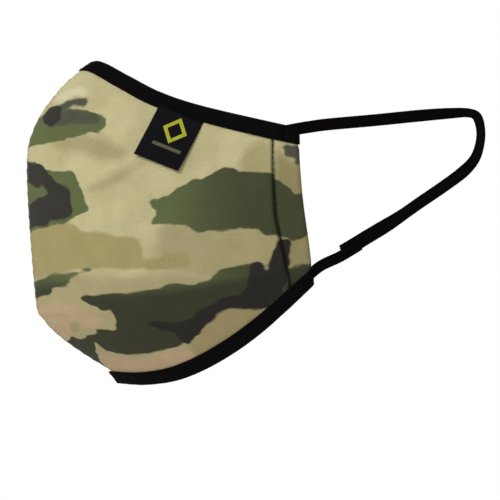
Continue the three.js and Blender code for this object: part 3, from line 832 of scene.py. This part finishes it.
def make_bindings():
    for end, v_edge in (("top", 1), ("bottom", 0)):
        middle, normal = tape(v_edge)
        columns = middle.shape[1]
        along = running_length(middle, 0)[:, [columns // 2]] + np.zeros(columns)
        across = running_length(middle, 1)
        piece = thick_sheet(
            end + "_tape", middle, normal, tape_edge_taper(columns), tape_cloth, "black_tape",
            cloth=np.stack([along, across, 0 * along], -1),
        )
        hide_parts(f"left_{end}_binding", f"right_{end}_binding")
        over_middle(piece)
        # The same seam shows on the tape's two faces.
        s = np.linspace(0, 1, 120)
        line, out = edge_places(s, v_edge, [TAPE_LEG - TAPE_STITCH])
        face = (TAPE_OUT + TAPE_CLOTH / 2 - nose_press(v_edge, line[:, 0])) * MM
        on_face = both_halves(line[:, 0] + out[:, 0] * face[:, None])
        line, out = both_halves(line[:, 0]), both_halves(out[:, 0])
        threads = stitches(end + "_tape_stitches", on_face, out, black_thread, "black_thread")
        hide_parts(f"left_{end}_binding_thread", f"right_{end}_binding_thread")
        over_middle(threads)
        from_hem = running_length(line, 0) / MM
        from_hem = np.minimum(from_hem, from_hem[-1] - from_hem)
        inside = (inner_leg(from_hem) - TAPE_CLOTH / 2) * MM
        inner = stitches(end + "_tape_inner_stitches", line + out * inside[:, None], -out,
                         black_thread, "black_thread")
        over_middle(inner)


def make_nose_wire():
    s = np.linspace(0, WIRE_END, 60)
    inside = np.array([1.2, 1.3, 1.6, 2.6, 3.5, 4.4, 5.3, 5.6, 5.7])
    place, normal = edge_places(s, 1, inside)
    place, normal = both_halves(place - normal * WIRE_DEPTH * MM), both_halves(normal)
    half = np.array([0.06, 0.12, 0.18, 0.2, 0.2, 0.2, 0.18, 0.12, 0.06]) * MM
    along = running_length(place, 0)
    piece = thick_sheet("nose_wire", place, normal, half, wire_metal, "nose_wire",
                        cloth=np.stack([along, running_length(place, 1), 0 * along], -1))
    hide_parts("left_nose_wire", "right_nose_wire")
    over_middle(piece)


# ---- Seams ----
def at_distance(g, field, distance):
    """The places and normals where a grid's field has a value, one for each of its rows."""
    lines = []
    lifted = g["place"] + g["normal"] * relief(g)[..., None]
    for values in (lifted, g["normal"]):
        line = []
        for j in range(values.shape[1]):
            key = field[:, j]
            order = np.argsort(key)
            line.append([np.interp(distance, key[order], values[order, j, k]) for k in range(3)])
        lines.append(np.array(line))
    return lines


def make_seam_stitches():
    g = cloth_grid(200, 160)
    rows = slice(7, -7)
    seams = {
        "hem": (off_hem_stitch(g["q"], g["p"]), 0, brown_thread, 1.2),
        "seam": (g["from_seam"], 2.6, khaki_thread, 0.9),
    }
    for side, place in SIDES.items():
        for name, (field, distance, thread, rise) in seams.items():
            line, normal = at_distance(g, field, distance)
            piece = stitches(f"{side}_{name}_stitches", place(line[rows]), place(normal[rows]),
                             thread, "khaki_thread", rise)
            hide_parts(f"{side}_{name}_thread")
            over_middle(piece)


def zigzag(start, along, across, length, width, turns):
    """Places of a zigzag: up and down across a stretch from start."""
    count = 2 * turns + 1
    share = np.linspace(0, 1, count)[:, None]
    swing = np.where(np.arange(count) % 2, 0.5, -0.5)[:, None]
    corners = start + along * share * length * MM + across * swing * width * MM
    at = np.linspace(0, count - 1, 4 * count)
    return np.stack([np.interp(at, np.arange(count), corners[:, k]) for k in range(3)], -1)


def make_bartacks():
    one = np.array([1.0])
    for end, v_edge in (("top", 1), ("bottom", 0)):
        place, out = edge_places(one, v_edge, [0.4, 4.2])
        out = out[0, 0]
        inward = unit(place[0, 1] - place[0, 0])
        back = backwards(one, np.array([float(v_edge)]))[0]
        start = place[0, 0] + out * (TAPE_OUT + TAPE_CLOTH / 2 + 0.05) * MM - back * 1.4 * MM
        path = zigzag(start, inward, back, 3.8, 1.6, 8)
        for side, turned in SIDES.items():
            piece = tubes(f"{side}_{end}_bartack", turned(path)[None],
                          np.broadcast_to(turned(out), (1, *path.shape)), 0.17 * MM,
                          black_thread, "black_thread")
            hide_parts(f"{side}_{end}_bartack")
            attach(piece, side + "_half")


# ---- Ear loops ----
pivot = np.array(TOP_PIVOT) * MM
pivot_run = unit(np.array(BOTTOM_PIVOT) * MM - pivot)
loop_back = np.array([-pivot_run[1], pivot_run[0]])
loop_face = unit(np.array([1, -FLARE * loop_back[0], -FLARE * loop_back[1]]))


def in_loop_plane(line, lift=0.0):
    """Side view places, in metres, put into the loop's plane and lifted off it."""
    behind = np.clip((line - pivot) @ loop_back, 0, None)
    x = ELASTIC_X * MM + FLARE * behind
    lifted = np.outer(np.broadcast_to(lift, len(x)), loop_face)
    return np.concatenate([x[:, None], line], 1) + lifted


def strap_section(width):
    """A flat strap's outline with rounded edges and lengthwise cords."""
    turn = np.linspace(0, 2 * np.pi, 45)[:-1]
    x = np.sign(np.cos(turn)) * np.abs(np.cos(turn)) ** 0.6 * width / 2
    y = np.sign(np.sin(turn)) * np.abs(np.sin(turn)) ** 0.35 * ELASTIC_CLOTH / 2
    cords = 1 + 0.14 * np.cos(2 * np.pi * x / 0.84) * (np.abs(y) > 0.3)
    return np.stack([x, y * cords], -1) * MM


def strap(name, centre, twist, width, side):
    place = SIDES[side]
    section = strap_section(width)
    along = unit(np.gradient(centre, axis=0))
    across = unit(np.cross(loop_face, along))
    face = np.cross(along, across)
    turn = np.radians(twist)[:, None]
    wide = across * np.cos(turn) + face * np.sin(turn)
    thick = face * np.cos(turn) - across * np.sin(turn)
    rings = centre[:, None] + section[:, :1] * wide[:, None] + section[:, 1:] * thick[:, None]
    n, k = rings.shape[:2]
    index = np.arange(n * k).reshape(n, k)
    beside = np.roll(index, -1, axis=1)
    quads = np.stack([index[:-1], beside[:-1], beside[1:], index[1:]], -1).reshape(-1, 4)
    length = running_length(centre, 0)[:, None] + np.zeros(k)
    across_strap = np.broadcast_to(section[:, 0], (n, k))
    cloth = np.stack([across_strap, length, 0 * length], -1).reshape(-1, 3)
    return make(name, place(rings.reshape(-1, 3)), quads, elastic, "elastic",
                [index[0, ::-1], index[-1]], cloth=cloth)


def at_pivot(piece):
    """Bakes the place of an elastic into its mesh; the loop is sewn in at two places."""
    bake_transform(piece)


def make_ear_loops():
    share = np.linspace(0, 1, 260)
    line = spline(LONG_ROUTE)(share)
    lower = share > 0.5
    rise = smooth((LAP_START * MM - line[:, 0]) / (12 * MM)) * lower
    twist = TWIST * np.exp(-(((share - TWIST_AT) / TWIST_SPREAD) ** 2)) + 8 * np.sin(share * 9)
    twist = np.maximum(twist, LOWER_TWIST * smooth((share - 0.55) / 0.08))
    twist *= smooth(share / 0.08) * smooth((0.93 - share) / 0.12)
    long_line = in_loop_plane(line, rise * LAP_LIFT * MM)
    short_line = in_loop_plane(spline(SHORT_ROUTE)(np.linspace(0, 1, 60)))
    lap = in_loop_plane(np.array(LAP_SEAM) * MM)
    lap_along = unit(lap[1] - lap[0])
    lap_across = np.cross(loop_face, lap_along)
    lift = (LAP_LIFT + ELASTIC_CLOTH / 2 + 0.1) * MM
    stitch = zigzag(lap[0] + loop_face * lift, lap_along, lap_across, 5, 3.2, 6)
    for side, place in SIDES.items():
        long_strap = strap(side + "_ear_elastic", long_line, twist, ELASTIC, side)
        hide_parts(side + "_ear_elastic", side + "_loop_top_root")
        at_pivot(long_strap)
        short_strap = strap(side + "_lower_elastic", short_line, 0 * short_line[:, 0],
                            LOWER_ELASTIC, side)
        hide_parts(side + "_lower_elastic", side + "_loop_bottom_root")
        at_pivot(short_strap)
        thread = tubes(side + "_lap_stitches", place(stitch)[None],
                       np.broadcast_to(place(loop_face), (1, *stitch.shape)), 0.2 * MM,
                       black_thread, "black_thread")
        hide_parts(side + "_lap_thread")
        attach(thread, side + "_ear_loop")


# ---- Label ----
def label_frame():
    """The label's top middle, and its directions across, down and out."""
    s, one = np.array(LABEL_ALONG), np.array(1.0)
    per_v = np.linalg.norm(surface(s, one) - surface(s, one - 0.05)) / 0.05 / MM
    middle = 1 - (LABEL_DROP + LABEL_LENGTH / 2) / per_v
    out = outward(s, np.array(middle))
    top = surface(s, np.array(1 - LABEL_DROP / per_v))
    top = top + out * ((surface(s, np.array(middle)) - top) @ out)
    across = backwards(s, one)
    across = unit(across - out * (across @ out))
    tilt = math.radians(-LABEL_TILT)
    across = across * math.cos(tilt) + np.cross(out, across) * math.sin(tilt)
    return top, across, np.cross(across, out), out


def on_label(a, b, height):
    """Places on the label, at a mm across from its middle and b mm down, with its soft curl."""
    top, across, down, out = label_frame()
    curl = 0.5 * (b / LABEL_LENGTH) ** 2 - 0.35 * (a / LABEL_WIDTH * 2) ** 2
    under = smooth(-b / LABEL_UNDER_TAPE) * 0.9
    lift = (LABEL_LIFT + curl * (b > 0) - under + height) * MM
    return top + a[..., None] * across * MM + b[..., None] * down * MM + lift[..., None] * out


def label_piece(name, a, b, height, half, material, slot):
    middle = on_label(a, b, height)
    normal = np.broadcast_to(label_frame()[3], middle.shape)
    cloth = np.stack([a, b, 0 * a], -1) * MM
    return thick_sheet(name, middle, normal, half * MM, material, slot, cloth=cloth)


def at_label_fold(piece):
    top, _, down, _ = label_frame()
    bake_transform(piece)


def edge_rounding(n):
    taper = np.ones(n)
    taper[[0, -1]] = 0.45
    taper[[1, -2]] = 0.85
    return taper


def make_label():
    a = np.linspace(-0.5, 0.5, 41) * LABEL_WIDTH
    b = np.linspace(-LABEL_UNDER_TAPE, LABEL_LENGTH, 47)
    a, b = np.meshgrid(a, b, indexing="ij")
    half = LABEL_CLOTH / 2 * np.outer(edge_rounding(41), edge_rounding(47))
    label = label_piece("side_label", a, b, 0, half, label_satin, "label_cloth")
    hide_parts("side_label")
    at_label_fold(label)
    # A ring of satin stitches in the shape of a diamond, above a plain woven stripe.
    round_share = np.linspace(0, 1, 97)
    corner = np.array([[0, -1], [1, 0], [0, 1], [-1, 0], [0, -1]]) * MOTIF_HALF
    path = np.stack([np.interp(round_share * 4, range(5), corner[:, k]) for k in (0, 1)], -1)
    widths = np.linspace(1, RING_INNER, 7)
    ring_a = path[:, :1] * widths + MOTIF_ACROSS
    ring_b = path[:, 1:] * widths + LABEL_LENGTH / 2 - MOTIF_ABOVE
    raised = LABEL_CLOTH / 2 + YARN_RISE
    half = RING_YARN * np.outer(np.ones(97), edge_rounding(7))
    motif = label_piece("label_motif", ring_a, ring_b, raised, half, label_yarn, "label_yarn")
    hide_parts("label_motif")
    at_label_fold(motif)
    a = MOTIF_ACROSS + np.linspace(-STRIPE_HALF, STRIPE_HALF, 41)
    a, b = np.meshgrid(a, np.linspace(STRIPE_TOP, STRIPE_BOTTOM, 7), indexing="ij")
    half = STRIPE_YARN * np.outer(edge_rounding(41), edge_rounding(7))
    stripe = label_piece("label_stripe", a, b, raised, half, dim_yarn, "label_yarn")
    at_label_fold(stripe)


# ---- Camera, floor and light ----
VIEW_CENTRE = (0.035, -0.0249, -0.0208)
VIEW_WIDTH = 0.2203
VIEW_TURN, VIEW_TILT = math.radians(0.2), math.radians(0.45)  # behind straight on, and down
LENS = 1200


def make_camera():
    data = bpy.data.cameras.new("camera")
    data.lens = LENS
    data.clip_end = 20
    camera = bpy.data.objects.new("camera", data)
    level = math.cos(VIEW_TILT)
    back = Vector((level * math.cos(VIEW_TURN), level * math.sin(VIEW_TURN), math.sin(VIEW_TILT)))
    camera.location = Vector(VIEW_CENTRE) + back * VIEW_WIDTH * LENS / data.sensor_width
    camera.rotation_euler = (-back).to_track_quat("-Z", "Y").to_euler()
    add(camera)
    bpy.context.scene.camera = camera


FLOOR_HEIGHT, FLOOR_RADII = -0.2, (0.45, 1.1, 2)
FLOOR_GLOW = 0.25  # of the floor's far part, so that it runs into the white round it


def make_floor():
    f = Finish("floor_paint", (243, 243, 243), 0.9)
    f.set(f.shader, "Base Color", f.vary(f.colour, 0.005, 0.2))
    f.set(f.shader, "Emission Color", srgb(255, 255, 255))
    f.set(f.shader, "Emission Strength", f.math("MULTIPLY", f.attribute("far"), FLOOR_GLOW))
    turn = np.linspace(0, 2 * np.pi, 129)[:-1]
    rings = [[(r * math.cos(t), r * math.sin(t), FLOOR_HEIGHT) for t in turn] for r in FLOOR_RADII]
    points = [point for ring in rings for point in ring]
    mesh = bpy.data.meshes.new("floor")
    n = len(turn)
    faces = [list(range(n))]
    for k in (0, n):
        faces += [(k + i, k + n + i, k + n + (i + 1) % n, k + (i + 1) % n) for i in range(n)]
    mesh.from_pydata(points, [], faces)
    mesh.materials.append(f.material)
    far = mesh.attributes.new("far", "FLOAT", "POINT")
    far.data.foreach_set("value", np.repeat([0.0, 1.0, 1.0], n))
    floor = bpy.data.objects.new("floor", mesh)
    add(floor)


def make_light(name, place, size, watts):
    data = bpy.data.lights.new(name, "AREA")
    data.shape = "DISK"
    data.size = size
    data.energy = watts
    light = bpy.data.objects.new(name, data)
    light.location = place
    towards = Vector((0, -0.06, -0.01)) - light.location
    light.rotation_euler = towards.to_track_quat("-Z", "Y").to_euler()
    add(light)


SKY_LIGHT = 0.43  # strength as a light; the camera sees it at 1


def make_sky():
    """White behind the mask, and a softer white as its light."""
    world = bpy.data.worlds.new("studio")
    world.use_nodes = True
    bpy.context.scene.world = world
    nodes, links = world.node_tree.nodes, world.node_tree.links
    background = nodes["Background"]
    background.inputs["Color"].default_value = (1, 1, 1, 1)
    path = nodes.new("ShaderNodeLightPath")
    strength = nodes.new("ShaderNodeMapRange")
    strength.inputs["To Min"].default_value = SKY_LIGHT
    strength.inputs["To Max"].default_value = 1.0
    links.new(path.outputs["Is Camera Ray"], strength.inputs["Value"])
    links.new(strength.outputs["Result"], background.inputs["Strength"])


make_camera()
make_floor()
make_light("key", (1.2, -1.4, 1.5), 1.0, 30)
make_light("back", (-1.5, 0.4, 1.2), 1.5, 16)
make_sky()
bpy.context.scene.view_settings.view_transform = "Standard"

make_outer_panels()
make_inner_layers()
make_bindings()
make_nose_wire()
make_seam_stitches()
make_bartacks()
make_ear_loops()
make_label()
